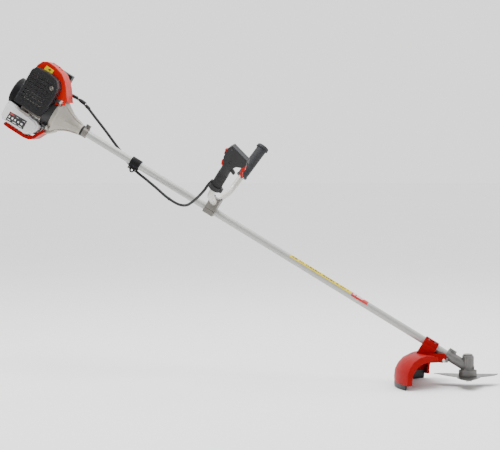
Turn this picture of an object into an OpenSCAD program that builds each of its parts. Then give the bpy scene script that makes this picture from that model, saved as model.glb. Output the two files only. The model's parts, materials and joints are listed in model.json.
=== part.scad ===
/* [Attitude] */
// Slope of the shaft below horizontal in the working stance (degrees)
tilt = 31; // [25:1:40]
// Height of the bevel axes' crossing above the spindle's free end
gz = 50; // [46:1:60]

/* [Shaft] */
// Outside radius of the long tube
tube_r = 13; // [12:0.5:14]
// Wall thickness of the long tube
tube_wall = 1.5; // [1:0.1:2.5]
// Lower end of the tube, measured from the bevel crossing
tube_lo = 52; // [50:1:60]
// Upper end of the tube, measured from the bevel crossing
tube_hi = 1582; // [1400:10:1600]
// Radius of the inner drive shaft
drive_r = 4; // [3:0.5:5]

/* [Gear head] */
// Teeth on the pinion
pin_teeth = 13; // [11:2:15]
// Teeth on the spindle gear
gear_teeth = 17; // [15:2:21]
// Face width of both gears
gear_face = 7.5; // [6:0.5:9]
// Pitch radius of the pinion at its large end
pin_pr = 10.2; // [9:0.1:11]

/* [Blade] */
// Blade tip radius
blade_r = 127.5; // [115:0.5:130]
// Blade thickness
blade_t = 1.8; // [1.4:0.1:2.5]
// Underside of the blade
blade_z = 19.1; // [19:0.1:20]

/* [Guard] */
// Sweep of the guard on the operator's left
guard_left = 53; // [40:1:58]
// Sweep of the guard on the operator's right
guard_right = 38; // [32:1:50]
// Bottom of the black skirt
skirt_z = -14; // [-20:1:0]

/* [Handlebar] */
// Distance of the handlebar plane from the bevel crossing
bar_s = 1034; // [900:2:1100]
// Radius of the handlebar tube
bar_r = 11; // [9.5:0.5:12.5]
// Height of the bar through its bracket
bar_h = 31; // [28:1:36]

/* [Engine] */
// Distance of the cylinder's centre line from the bevel crossing
ex = 1745; // [1700:5:1800]
// Piston radius
piston_r = 20.95; // [19:0.05:22]
// Clutch drum radius inside
drum_r = 36.5; // [34:0.5:38]

/* [Hidden] */
$fn = 64;
bev_sum = 90 - tilt;
g1 = atan(sin(bev_sum) / (gear_teeth / pin_teeth + cos(bev_sum)));
g2 = bev_sum - g1;
cone_R = pin_pr / sin(g1);
gear_pr = cone_R * sin(g2);
face_k = (cone_R - gear_face) / cone_R;
tube_ir = tube_r - tube_wall;
hang_s = 1341;
bar_x0 = 36; bar_x1 = 212; bar_z1 = 66; bar_x2 = 284; bar_z2 = 252; bar_R = 46;
bar_a1 = atan((bar_z1 - bar_h) / (bar_x1 - bar_x0));
bar_a2 = atan((bar_z2 - bar_z1) / (bar_x2 - bar_x1));
bar_t = bar_R * tan((bar_a2 - bar_a1) / 2);
bar_l2 = norm([bar_x2 - bar_x1, bar_z2 - bar_z1]);
lean = 90 - bar_a2;
bar_tilt = 3.5;

// Shaft frame: X runs down the shaft towards the blade, Z is square to it and upward.
module L() translate([0, 0, gz]) rotate([0, tilt, 0]) children();
// Engine frame: the same directions, starting where the cylinder's centre line meets the crank.
module E() L() translate([-ex, 0, 0]) children();
module cx(x0, x1, r, r2 = -1)
  translate([x0, 0, 0]) rotate([0, 90, 0]) cylinder(h = x1 - x0, r1 = r, r2 = r2 < 0 ? r : r2);
module cy(y0, y1, r, r2 = -1)
  translate([0, y1, 0]) rotate([90, 0, 0]) cylinder(h = y1 - y0, r1 = r2 < 0 ? r : r2, r2 = r);
module cz(z0, z1, r, r2 = -1)
  translate([0, 0, z0]) cylinder(h = z1 - z0, r1 = r, r2 = r2 < 0 ? r : r2);
module bx(a, b) translate(a) cube([b[0] - a[0], b[1] - a[1], b[2] - a[2]]);
// Turns a drawing in X and Y into one in X and Z, thick in Y from y0 to y1.
module side(y0, y1) translate([0, y1, 0]) rotate([90, 0, 0]) linear_extrude(y1 - y0) children();
module ring(x0, x1, ro, ri) difference() { cx(x0, x1, ro); cx(x0 - 1, x1 + 1, ri); }
module zring(z0, z1, ro, ri) difference() { cz(z0, z1, ro); cz(z0 - 1, z1 + 1, ri); }
// A socket-head screw along +Z: head upward from the origin, shank below.
module screw(r, len, hr, hh) { cz(-len, 0, r); difference() { cz(0, hh, hr); translate([0, 0, hh / 2]) cylinder(h = hh, r = hr * 0.5, $fn = 6); } }

module gear_shape(n, pr, k) {
  m = 2 * pr / n;
  ra = (pr + 0.72 * m) * k;
  rr = (pr - 0.95 * m) * k;
  p = 360 / n;
  polygon([for (i = [0 : n - 1]) for (q = [[-0.30, 0], [-0.12, 1], [0.12, 1], [0.30, 0]])
    (q[1] == 1 ? ra : rr) * [cos(p * (i + q[0])), sin(p * (i + q[0]))]]);
}

// ---- long shaft ----
module shaft_tube() color([0.8, 0.8, 0.8]) L() ring(-tube_hi, -tube_lo, tube_r, tube_ir);

module shaft_bushes() color([0.1, 0.1, 0.1]) L()
  for (s = [240, 560, 880, 1200, 1500]) ring(-s - 16, -s + 16, tube_ir, drive_r + 0.06);

module drive_shaft() color([0.6, 0.6, 0.62]) L() {
  cx(-58, -41, 3);
  cx(-1592, -58, drive_r);
}

// ---- gear head ----
module gear_case() color([0.35, 0.35, 0.36]) difference() {
  union() {
    L() { cx(-86, -8, 17.5); cx(-86, -76, 19); bx([-85, -7, 10], [-58, 7, 25]); }
    cz(gz - 20, gz + 40, 18.5);
    cz(gz + 40, gz + 43, 16.5);
    cz(gz - 22, gz - 8, 26);
    cz(gz - 8, gz - 5.4, 26, 18.5);
    cz(gz + 30, gz + 33, 19.6);
    translate([0, 0, gz]) rotate([0, 0, 90]) bx([-9, -22, -12], [9, 0, 4]);
    for (a = [0, 120, 240]) rotate(a) translate([17, 0, 0]) cz(gz - 20, gz + 36, 3.5);
  }
  L() {
    cx(-87, -52, tube_r);
    cx(-52.5, -36, 13);
    cx(-36.5, -13, 12.4);
    bx([-88, -0.8, 8], [-56, 0.8, 26]);
    translate([-71, 0, 20.5]) cy(-12, 12, 2.6);
  }
  cz(gz + 12, gz + 27, 15.4);
  cz(gz + 26.5, gz + 36, 13);
  cz(gz - 13, gz + 13, 9.5);
  cz(gz - 24, gz - 12.5, 14);
  translate([0, 0, gz - 2]) cy(-27, -8, 3);
}

module shaft_bearings() color([0.7, 0.7, 0.72]) {
  L() { ring(-52, -44.5, 13, 5.05); ring(-44, -36.5, 13, 5.05); }
  zring(gz + 27.5, gz + 35.5, 13, 5.05);
  zring(gz - 21, gz - 13, 14, 6.05);
  L() ring(-1610, -1598, 17.5, 7.55);
  E() { ring(20, 32, 17.5, 7.55); ring(-32, -20, 17.5, 7.55); }
}

module pinion_gear() color([0.55, 0.55, 0.57]) L() difference() {
  union() {
    rotate([0, -90, 0]) translate([0, 0, cone_R * cos(g1) * face_k])
      linear_extrude(height = cone_R * cos(g1) * (1 - face_k), scale = 1 / face_k)
        gear_shape(pin_teeth, pin_pr, face_k);
    cx(-36, -cone_R * cos(g1) + 0.1, 6.6);
    cx(-57, -35.5, 5);
  }
  cx(-60, -40, 3);
}

module bevel_gear() color([0.55, 0.55, 0.57]) difference() {
  union() {
    translate([0, 0, gz + cone_R * cos(g2) * face_k])
      linear_extrude(height = cone_R * cos(g2) * (1 - face_k), scale = 1 / face_k)
        gear_shape(gear_teeth, gear_pr, face_k);
    cz(gz + cone_R * cos(g2) - 0.1, gz + 26, 9);
  }
  cz(gz, gz + 30, 6);
}

module spindle() color([0.72, 0.72, 0.74]) {
  cz(0, 5.6, 4.8);
  cz(5.5, 6.1, 4.5);
  cz(6, 21.5, 5);
  cz(21.4, gz + 26.9, 6);
  cz(gz + 26.8, gz + 35, 5);
}

module inner_flange() color([0.4, 0.4, 0.42]) difference() {
  union() {
    cz(blade_z + blade_t, 26, 30.5);
    cz(19.3, blade_z + blade_t + 0.1, 12.65);
    cz(25.9, 41, 30.5);
  }
  cz(26, 42, 28.4);
  cz(18, 40, 6);
}

module blade_tooth() polygon([[0, -34], [48, -40], [86, -30], [112, -14], [127.3, 5],
  [118, 3], [98, 12], [72, 27], [30, 42], [0, 42]]);
module blade() color([0.62, 0.62, 0.62]) translate([0, 0, blade_z]) difference() {
  intersection() {
    linear_extrude(blade_t) union() {
      circle(r = 43);
      for (a = [35, 155, 275]) rotate(a) blade_tooth();
    }
    cz(-1, 3, blade_r);
  }
  cz(-1, 4, 12.7);
  for (a = [45, 165, 285]) rotate(a) translate([33, 0, 0]) cz(-1, 4, 3);
}

module outer_washer() color([0.5, 0.5, 0.5]) difference() {
  union() { cz(15.5, blade_z, 27); cz(12.5, 15.6, 19, 25); }
  cz(10, 20, 5.6);
  cz(17.6, 20, 13.4);
}

module blade_nut() color([0.75, 0.75, 0.76]) difference() {
  union() {
    translate([0, 0, 6]) cylinder(h = 5, r = 9.2, $fn = 6);
    cz(10.9, 12.5, 11);
  }
  cz(5, 13, 5);
}

// ---- guard ----
module guard_bracket() color([0.85, 0.05, 0.05]) difference() {
  L() bx([-173, -21, -56], [-123, 21, -0.4]);
  L() { cx(-300, 0, tube_r); for (s = [136, 160]) for (y = [-17, 17]) translate([-s, y, 0]) cz(-20, 2, 2); }
  bx([-130, -40, 20], [-60, 40, 92.05]);
  rotate(180 - 30) rotate_extrude(angle = 60) polygon([[90, 20], [90, 92.05], [126, 92.05],
    [172, 97.55], [198, 92.55], [230, 70], [230, 20]]);
}

module guard_clamp() color([0.85, 0.05, 0.05]) L() difference() {
  union() {
    bx([-173, -21, 0.4], [-123, 21, 12]);
    bx([-173, -12, 11.9], [-123, 12, 17]);
  }
  cx(-200, -100, tube_r);
  for (s = [136, 160]) for (y = [-17, 17]) translate([-s, y, 0]) cz(-1, 13, 2.3);
}

module blade_guard() color([0.85, 0.05, 0.05]) difference() {
  union() {
    rotate(180 - guard_left) rotate_extrude(angle = guard_left + guard_right) polygon([
      [126, 92], [172, 97.5], [198, 92.5], [222, 80], [237, 63], [247, 43], [250, 18], [249, 3],
      [246, 3], [247, 18], [244, 42], [234.5, 61], [220, 77.5], [197, 89.5], [172, 94.4], [126, 89]]);
    for (a = [180 - guard_left - 0.6, 180 + guard_right - 1.9]) rotate(a) rotate_extrude(angle = 2.5) polygon([
      [124.6, 92.7], [172.2, 98.4], [198.6, 93.3], [222.8, 80.6], [237.9, 63.4], [248, 43.2], [251, 18],
      [250, 2.2], [230, 2.2], [231, 17], [228, 34], [219, 49], [207, 61], [189, 71], [168, 75], [124.6, 74]]);
    for (y = [-30, 26]) side(y, y + 4) polygon([[-150, 91], [-150, 97], [-128, 98], [-96, 98],
      [-78, 99], [-71, 91], [-72, 77], [-84, 67], [-120, 71], [-140, 78]]);
    bx([-130, -29, 88], [-98, 29, 92]);
    for (y = [-30, 20]) bx([-92, y, 84], [-76, y + 10, 94]);
  }
  bx([-194, 8, 80], [-186, 22, 110]);
  L() cx(-300, 0, 19.4);
}

module guard_skirt() color([0.08, 0.08, 0.08]) {
  rotate(180 - guard_left + 2.7) rotate_extrude(angle = guard_left + guard_right - 5.4) polygon([
    [242.6, 16], [245.9, 14], [245.9, 2.9], [249.5, 2.9], [249, skirt_z], [245, skirt_z], [242.6, 0]]);
  rotate(180 + 16) translate([-2, 0, 0]) bx([205, -1, -6], [243, 2, 10]);
  rotate(180 + 16) bx([238, -8, -6], [243.2, 8, 12]);
}

// ---- screws of the fixed frame ----
module fixing_screws() color([0.7, 0.7, 0.7]) {
  L() {
    for (s = [136, 160]) for (y = [-17, 17]) translate([-s, y, 12]) screw(2, 30, 3.6, 3.2);
    translate([-71, -7, 20.5]) rotate([90, 0, 0]) screw(2.6, 14, 4.4, 4);
    translate([-1550, -8, 23.5]) rotate([90, 0, 0]) screw(2.6, 15, 4.4, 4);
    for (s = [-9, 9]) for (y = [-20, 20]) translate([-bar_s + s * 1.6, y, bar_h + 14]) screw(2.5, 34, 4.2, 4);
    for (s = [-12.5, 12.5]) translate([-hang_s + s, -4, -21.5]) rotate([90, 0, 0]) screw(2, 8, 3.4, 3);
  }
  translate([0, -22, gz - 2]) rotate([90, 0, 0]) screw(3, 7, 4.4, 2.5);
  E() for (a = [45, 135, 225, 315]) rotate([a, 0, 0]) translate([83, 0, 67]) rotate([0, 90, 0]) screw(2.5, 20, 4, 4);
}

// ---- clutch end ----
module clutch_housing() color([0.62, 0.6, 0.57]) E() difference() {
  union() {
    rotate([0, 90, 0]) rotate_extrude() polygon([[0, 76], [63, 76], [63, 88], [60, 92], [53, 101],
      [45.5, 111], [38, 122], [31, 135], [26, 149], [22, 164], [20, 180], [0, 180]]);
    for (a = [45, 135, 225, 315]) rotate([a, 0, 0]) translate([76, 0, 0]) bx([0, -8, 50], [7, 8, 74]);
    for (a = [30 : 60 : 330]) rotate([a, 0, 0]) side(-1.5, 1.5)
      polygon([[84, 55], [84, 63], [104, 52.5], [126, 38.6], [146, 30], [174, 22.4], [174, 16], [138, 22]]);
  }
  rotate([0, 90, 0]) rotate_extrude() polygon([[0, 75], [58.5, 75], [58.5, 86], [50, 99], [44, 107.5], [41.5, 112],
    [0, 112]]);
  cx(110, 135.1, 17.4);
  cx(134.9, 147.1, 17.5);
  cx(146, 163.1, 14);
  cx(163, 181, tube_r);
  for (a = [45, 135, 225, 315]) rotate([a, 0, 0]) translate([0, 0, 67]) cx(75, 84, 2.5);
}

module vibration_ring() color([0.05, 0.05, 0.05]) L() ring(-1565, -1558, 19, tube_r);

module shaft_clamp() color([0.72, 0.72, 0.72]) L() difference() {
  union() { cx(-1558, -1541, 18.4); bx([-1558, -6.5, 12], [-1542, 6.5, 29]); }
  cx(-1563, -1533, tube_r);
  bx([-1563, -0.8, 5], [-1533, 0.8, 31]);
  translate([-1550, 0, 23.5]) cy(-10, 10, 2.6);
}

module clutch_drum() color([0.5, 0.5, 0.52]) E() difference() {
  union() {
    cx(86, 107, drum_r + 2.2);
    cx(106.9, 110, 20);
    cx(109.9, 160, 7.5);
  }
  cx(80, 104, drum_r);
  cx(150, 170, drive_r);
}

module shoe() difference() {
  intersection() {
    cx(88, 102, drum_r - 2);
    bx([80, 2, -60], [110, 60, 60]);
  }
  cx(80, 110, 15);
  translate([0, 22, -14]) cx(80, 110, 4.05);
  bx([80, 0, -60], [110, 12, -12]);
}
module clutch_shoe_a() color([0.45, 0.4, 0.35]) E() shoe();
module clutch_shoe_b() color([0.45, 0.4, 0.35]) E() rotate([180, 0, 0]) shoe();

module flywheel() color([0.66, 0.66, 0.68]) E() difference() {
  union() {
    cx(52, 58, 52);
    cx(48, 80, 14);
    for (a = [0 : 22.5 : 359]) rotate([a, 0, 0]) side(-1, 1) polygon([[57.5, 22], [57.5, 52], [70, 52], [70, 30]]);
    for (q = [0, 180]) rotate([q, 0, 0]) translate([0, 22, -14]) { cx(57.5, 87.4, 6); cx(87, 101, 4); }
    cx(48, 52.1, 46);
  }
  cx(40, 90, 7.5);
  bx([40, -10, -47], [51, 10, -38]);
}

module fan_housing() color([0.3, 0.3, 0.31]) E() difference() {
  union() {
    cx(44, 76, 63);
    for (a = [45, 135, 225, 315]) rotate([a, 0, 0]) bx([60, -8, 60], [76, 8, 74]);
  }
  cx(47.5, 80, 57.5);
  cx(40, 50, 18);
  for (a = [22.5 : 45 : 359]) rotate([a, 0, 0]) bx([40, -7, 30], [49, 7, 48]);
  bx([40, -20, 45], [80, 20, 80]);
  for (a = [45, 135, 225, 315]) rotate([a, 0, 0]) translate([0, 0, 67]) cx(62, 84, 2.5);
}

// ---- engine ----
module crankcase() color([0.5, 0.5, 0.5]) E() difference() {
  union() {
    cx(-46, 44, 36);
    bx([-34, -34, 0], [34, 34, 36]);
    bx([-40, -30, -40], [40, 30, -28]);
  }
  cx(-18, 18, 29);
  cx(-32, 32, 17.5);
  cx(-60, 60, 9);
  cz(0, 40, 23.5);
}

module crankshaft() color([0.6, 0.6, 0.62]) E() {
  cx(7, 14, 27);
  cx(-14, -7, 27);
  cx(13.9, 77, 7.5);
  cx(-50, -13.9, 7.5);
}

module fin_stack() for (z = [44 : 7 : 100]) bx([-38, -36, z], [38, 36, z + 2.2]);
module cylinder_block() color([0.7, 0.7, 0.7]) E() difference() {
  union() {
    cz(36, 108, 27);
    bx([-32, -32, 36], [32, 32, 40]);
    fin_stack();
    translate([0, 0, 70]) cy(-44, 0, 14);
    translate([0, 0, 66]) cy(0, 46, 15);
    cz(28.5, 37, 23.5);
  }
  cz(10, 96, piston_r + 0.05);
  translate([0, 0, 70]) cy(-60, -10, 9);
  translate([0, 0, 66]) cy(10, 60, 9);
  cz(95, 120, 7);
}

module piston() color([0.75, 0.75, 0.76]) E() difference() {
  cz(60, 90, piston_r);
  cz(50, 84, piston_r - 3.5);
  translate([0, 0, 72]) cx(-25, 25, 5);
}

module connecting_rod() color([0.5, 0.5, 0.52]) E() difference() {
  union() {
    translate([0, 0, 16]) cx(-6.6, 6.6, 10);
    translate([0, 0, 72]) cx(-6, 6, 9);
    bx([-4, -6, 20], [4, 6, 68]);
    translate([0, 0, 72]) cx(-20, 20, 5);
  }
  bx([-5, -2.5, 29], [-2.5, 2.5, 60]);
  bx([2.5, -2.5, 29], [5, 2.5, 60]);
}

module spark_plug() color([0.9, 0.9, 0.88]) E() {
  cz(94, 108.05, 7);
  translate([0, 0, 108]) cylinder(h = 6, r = 9, $fn = 6);
  cz(113.9, 125, 5);
}

module plug_cap() color([0.06, 0.06, 0.06]) E() difference() {
  union() { cz(116, 132, 7.5); translate([0, 0, 126]) cy(0, 22, 4); }
  cz(110, 125, 5);
}

module ignition_coil() color([0.1, 0.1, 0.1]) E() {
  bx([50, -13, 53], [66, 13, 66]);
  bx([46.5, -9, 56], [50.1, 9, 64]);
}

module muffler() color([0.35, 0.33, 0.32]) E() union() {
  side(-84, -46) polygon([[-46, 34], [-52, 44], [-52, 92], [-44, 102], [24, 102], [34, 92], [34, 44], [26, 34]]);
  translate([0, 0, 70]) cy(-47, -44, 18);
  translate([38, -88, 80]) rotate([0, 60, -50]) difference() { translate([0, 0, -10]) cylinder(h = 16, r = 6.5); cylinder(h = 8, r = 4.6); }
}

module muffler_guard() color([0.06, 0.06, 0.06]) E() difference() {
  side(-97, -41.5) polygon([[-56, -24], [-56, 100], [-46, 116], [10, 119], [40, 111], [54, 93], [58, 74], [58, 10],
    [54, -4], [44, -27]]);
  side(-94.5, -30) polygon([[-53.5, -40], [-53.5, 99], [-44.5, 113.5], [10, 116.5], [38.5, 109], [51.5, 92], [55.5, 73.5],
    [55.5, 10], [51.5, -4], [41, -28], [40, -40]]);
  for (z = [4 : 14 : 88]) for (x = [-46 : 12 : 30]) translate([x, 0, z]) bx([0, -100, 0], [8, -90, 4]);
  translate([37, -90, 80]) cy(-12, 6, 9);
  cx(43.6, 90, 64.5);
  cx(-60, 44, 51.5);
}

module engine_cover() color([0.85, 0.1, 0.05]) E() difference() {
  union() {
    side(-40, 46) polygon([[-62, 92], [-62, 118], [-52, 138], [-36, 147], [-8, 146], [28, 136], [51, 119],
      [68, 99], [83, 77], [92, 65.5], [96.8, 59.8], [93.6, 60.2], [89, 64.6], [80.5, 75], [65.5, 96.8],
      [49, 116.6], [27, 133.1], [-8, 143], [-35.5, 144], [-50, 135], [-59, 117], [-59, 92]]);
    for (y = [-40, 43.5]) side(y, y + 2.5) polygon([[-62, 92], [-62, 118], [-52, 138], [-36, 147], [-8, 146], [28, 136],
      [51, 119], [68, 99], [83, 77], [92, 65.5], [96.8, 59.8], [93.6, 60.2], [84, 68], [68, 71],
      [58, 92], [42, 112], [11, 121], [-46, 118], [-56, 101], [-56, 92]]);
  }
  for (x = [-40 : 11 : 14]) translate([x, 0, 0]) bx([0, 12, 120], [5, 36, 160]);
}

module starter_housing() color([0.07, 0.07, 0.07]) E() difference() {
  union() {
    difference() {
      union() { cx(-92, -46, 50); cx(-97, -91.9, 42, 50); bx([-68, 30, 24], [-54, 58, 39]); }
      cx(-90, -45, 46.5);
    }
    cx(-91, -57, 3.94);
  }
  for (a = [10 : 20 : 359]) rotate([a, 0, 0]) bx([-100, -2, 18], [-80, 2, 38]);
  translate([-61, 0, 31.6]) cy(20, 60, 2.4);
}

module starter_reel() color([0.85, 0.85, 0.8]) E() difference() {
  union() { cx(-66, -64, 34); cx(-64.1, -57.9, 29.5); cx(-58, -56, 34); cx(-88, -56, 7); }
  cx(-90, -54, 4);
}

module recoil_spring() color([0.5, 0.5, 0.52]) E() difference() {
  cx(-80, -70, 30);
  for (r = [29, 26.5, 24, 21.5, 19, 16.5]) difference() { cx(-79, -60, r); cx(-80, -59, r - 1.5); }
  cx(-90, -60, 14.5);
}

module starter_handle() color([0.07, 0.07, 0.07]) E() translate([-61, 0, 31.6]) {
  translate([0, 67, 0]) rotate([0, 90, 0]) cz(-18, 18, 7);
  cy(-30, 60, 1.8);
  cy(58.4, 66, 4.5, 7);
}

module carburettor() color([0.66, 0.66, 0.66]) E() difference() {
  union() {
    bx([-17, 50, 50], [17, 82, 84]);
    translate([0, 0, 66]) cy(46, 50.1, 20);
    translate([0, 66, 40]) cz(0, 11, 12);
    translate([0, 66, 77]) cx(10, 42, 4);
  }
  translate([0, 0, 66]) cy(40, 90, 9);
}

module choke_lever() color([0.06, 0.06, 0.06]) E() translate([-24, 78.4, 60]) {
  cy(0, 3, 5);
  bx([-22, 0, -2.5], [0, 3, 2.5]);
}

module primer_bulb() color([0.9, 0.75, 0.6, 0.7]) E() translate([0, 66, 40]) intersection() {
  translate([0, 0, 0]) sphere(r = 9);
  cz(-10, -0.05, 12);
}

module throttle_arm() color([0.6, 0.6, 0.6]) E() translate([17.4, 66, 58]) {
  cx(0, 3, 5);
  bx([0, -3, 0], [3, 3, 12]);
}

module air_filter_base() color([0.08, 0.08, 0.08]) E() difference() {
  bx([-44, 82, 44], [38, 92, 136]);
  translate([0, 0, 66]) cy(70, 100, 9);
  bx([-41, 85, 47], [35, 94, 133]);
}

module filter_element() color([0.3, 0.3, 0.3]) E() bx([-40, 86, 48], [34, 97, 132]);

module air_filter_cover() color([0.09, 0.09, 0.09]) E() difference() {
  union() {
    bx([-44, 92.4, 44], [38, 116, 136]);
    bx([-36, 115.9, 52], [30, 121, 128]);
    translate([-3, 0, 90]) cy(120, 128, 11);
  }
  bx([-41, 90, 47], [35, 113, 133]);
}

module tank_2d(i) offset_poly(i);
module offset_poly(i) polygon([[-84 + i, -46 - 0], [-80 + i, -38 - i], [40 - i, -51 - i], [52 - i, -58 - i],
  [56 - i, -72], [44 - i, -97 + i], [26, -108 + i], [-70, -105 + i], [-82 + i, -94]]);
module fuel_tank() color([0.92, 0.92, 0.9, 0.8]) E() difference() {
  union() { side(-58, 58) offset_poly(0); side(-64, 64) offset_poly(5); translate([-60, 0, -66]) cy(60, 72, 13); }
  difference() { side(-61, 61) offset_poly(7.5); cx(-110, -40, 55); cx(36, 70, 67); }
  translate([-60, 0, -66]) cy(40, 80, 10.5);
  cx(-110, -43, 52);
  cx(43, 70, 64.5);
}

module fuel_cap() color([0.1, 0.1, 0.1]) E() translate([-60, 0, -66]) {
  cy(72.2, 84, 17);
  cy(62, 72.3, 10.4);
}

module tank_guard() color([0.8, 0.12, 0.1]) E() side(-40, 40) polygon([[-64, -118], [-61, -110.5], [28, -113],
  [48, -101], [58, -82], [72, -64], [79, -68], [68, -88], [58, -108], [42, -121], [22, -124.5], [-40, -123.5], [-60, -122]]);

// ---- throttle cable ----
function tipped(x, y, z, r) = let (u = x + bar_s, w = z - bar_h)
  [-bar_s + u * cos(bar_tilt) + w * sin(bar_tilt), y, bar_h - u * sin(bar_tilt) + w * cos(bar_tilt), r];
function hb(x, z) = tipped(-bar_s + x, -bar_x1 - z * sin(lean), bar_z1 + z * cos(lean), 3.2);
cab = [[-1696, 66, 77, 3.2], [-1672, 68, 79, 4.4], [-1655, 70, 80, 4.4], [-1634, 70, 79, 4.4], [-1608, 66, 74, 4.4],
  [-1600, 64, 72, 3.2], [-1560, 55, 58, 3.2], [-1500, 40, 38, 3.2], [-1440, 26, 16, 3.2], [-1400, 21, 1, 3.2],
  [-1370, 18, -13, 3.2], [-1341, 12, -21, 3.2], [-1318, 6, -25, 3.2], [-1280, -6, -28, 3.2], [-1230, -22, -33, 3.2],
  [-1180, -44, -38, 3.2], [-1130, -78, -34, 3.2], [-1097, -116, -17, 3.2], [-1078, -154, 14, 3.2],
  [-1065, -190, 46, 3.2], [-1058, -211, 70, 3.2], hb(-25, 21), hb(-22.7, 31), hb(-19.2, 44.6)];
cabn = len(cab);
function cpt(i) = let (k = min(max(i, 0), cabn - 1)) cab[k];
function cat(a, b, c, d, t) = 0.5 * ((2 * b) + (c - a) * t + (2 * a - 5 * b + 4 * c - d) * t * t + (3 * b - a - 3 * c + d) * t * t * t);
cabsub = 3;
cabp = [for (i = [0 : cabn - 2]) for (j = [0 : cabsub - 1]) cat(cpt(i - 1), cpt(i), cpt(i + 1), cpt(i + 2), j / cabsub), cpt(cabn - 1)];
function p3(q) = [q[0], q[1], q[2]];
function unit(v) = v / norm(v);
module tube_along(p, n, ref) {
  m = len(p);
  dir = [for (i = [0 : m - 1]) unit(p3(p[min(i + 1, m - 1)]) - p3(p[max(i - 1, 0)]))];
  sid = [for (i = [0 : m - 1]) unit(cross(dir[i], ref))];
  up = [for (i = [0 : m - 1]) cross(sid[i], dir[i])];
  pts = [for (i = [0 : m - 1]) for (j = [0 : n - 1]) p3(p[i]) + p[i][3] * (cos(360 * j / n) * sid[i] + sin(360 * j / n) * up[i])];
  quads = [for (i = [0 : m - 2]) for (j = [0 : n - 1]) let (a = i * n + j, b = i * n + (j + 1) % n) each [[a, a + n, b], [b, a + n, b + n]]];
  polyhedron(pts, concat([[for (j = [0 : n - 1]) j]], quads, [[for (j = [n - 1 : -1 : 0]) (m - 1) * n + j]]));
}
module throttle_cable() color([0.08, 0.08, 0.08]) L() tube_along(cabp, 8, [0, -0.5, 1]);

module hanger_clamp() color([0.07, 0.07, 0.07]) L() difference() {
  union() {
    cx(-hang_s - 18, -hang_s + 18, 18);
    bx([-hang_s - 18, -4, -27], [-hang_s + 18, 4, -10]);
    translate([-hang_s, 0, -27]) cy(-4, 4, 8.5);
  }
  cx(-hang_s - 20, -hang_s + 20, tube_r);
  translate([-hang_s, 0, -27]) cy(-6, 6, 4);
  for (s = [-12.5, 12.5]) translate([-hang_s + s, 0, -21.5]) cy(-8, 8, 2);
}

// ---- handlebar ----
function bend(cy0, cz0, rr, a0, a1, n) = [for (i = [0 : n]) let (a = a0 + (a1 - a0) * i / n) [cy0 + rr * sin(a), cz0 - rr * cos(a)]];
bar_k = norm([bar_x1 - bar_x0, bar_z1 - bar_h]) - bar_t;
bar_c = [bar_x0 + bar_k * cos(bar_a1) - bar_R * sin(bar_a1), bar_h + bar_k * sin(bar_a1) + bar_R * cos(bar_a1)];
bar_t0 = 60 * tan(bar_a1 / 2);
function bar_path(cut) = concat([[0.2, bar_h]], bend(bar_x0 - bar_t0, bar_h + 60, 60, 0, bar_a1, 2),
  bend(bar_c[0], bar_c[1], bar_R, bar_a1, bar_a2, 10),
  [[bar_x1 + (bar_l2 - cut) * cos(bar_a2), bar_z1 + (bar_l2 - cut) * sin(bar_a2)]]);
module bar_half(q, cut) tube_along([for (p = bar_path(cut)) [-bar_s, q * p[0], p[1], bar_r]], 24, [q, 0, 0]);
module handlebar_left() color([0.85, 0.85, 0.83]) L() tip() bar_half(1, 0);
module handlebar_right() color([0.85, 0.85, 0.83]) L() tip() bar_half(-1, 12);

module bar_bracket() color([0.55, 0.54, 0.52]) L() translate([-bar_s, 0, 0]) difference() {
  union() {
    bx([-19, -25, -17], [19, 25, bar_h + 14]);
  }
  cx(-40, 40, tube_r);
  translate([0, 0, bar_h]) cy(-40, 40, bar_r);
  bx([-30, -30, -0.5], [30, 30, 0.5]);
  for (s = [-14.4, 14.4]) for (y = [-20, 20]) translate([s, y, 0]) cz(-3, 60, 2.5);
}

// Tips the handlebar towards the blade about its own middle.
module tip() translate([-bar_s, 0, bar_h]) rotate([0, bar_tilt, 0]) translate([bar_s, 0, -bar_h]) children();
module on_bar(q) tip() translate([-bar_s, 0, 0]) translate([0, q * bar_x1, bar_z1]) rotate([-q * lean, 0, 0]) children();
module left_grip() color([0.12, 0.12, 0.12]) L() on_bar(1) difference() {
  union() {
    cz(76, 204, 18.5);
    cz(70, 76.1, 20.5);
    cz(197, 207, 24, 22);
  }
  cz(60, bar_l2 + 0.2, bar_r);
}

hz = 42;
h0 = 29;
module throttle_handle() color([0.07, 0.07, 0.07]) L() on_bar(-1) {
  difference() {
    union() {
      cz(h0, hz + 104, 17.5);
      cz(h0, h0 + 16, 22);
      translate([19, 0, h0 + 1]) cz(0, 14, 9);
      translate([-22.7, 0, h0 + 2]) rotate([0, 14, 0]) cz(-2, 20, 6.5);
      side(-16, 16) polygon([[-16, hz + 88], [-27, hz + 112], [-29, hz + 146], [-21, hz + 160], [48, hz + 145],
        [52, hz + 128], [46, hz + 116], [27, hz + 106], [15, hz + 86]]);
      side(-5, 5) polygon([[14, hz + 76], [30, hz + 70], [33, hz + 74], [30, hz + 80], [14, hz + 88]]);
    }
    cz(h0 - 2, bar_l2 - 11.8, bar_r);
    translate([-22.7, 0, h0 + 2]) rotate([0, 14, 0]) cz(-6, 15.5, 3.8);
    bx([31.5, -5.4, hz + 90], [62, 5.4, hz + 137]);
    bx([-40, -5.4, hz + 74], [-13.2, 5.4, hz + 106]);
    bx([-40, -7.4, hz + 116], [-24.5, 7.4, hz + 142]);
  }
  translate([41, 0, hz + 128]) cy(-6, 6, 2);
  translate([-19.5, 0, hz + 100]) cy(-6, 6, 1.5);
}

module trigger() color([0.85, 0.05, 0.05]) L() on_bar(-1) difference() {
  side(-5, 5) polygon([[36.5, hz + 132], [44, hz + 134], [52, hz + 122], [55, hz + 108], [52, hz + 98], [56, hz + 88],
    [62, hz + 80], [58, hz + 77], [50, hz + 86], [45, hz + 98], [44, hz + 110], [38, hz + 122]]);
  translate([41, 0, hz + 128]) cy(-6, 6, 2.05);
}

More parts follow.
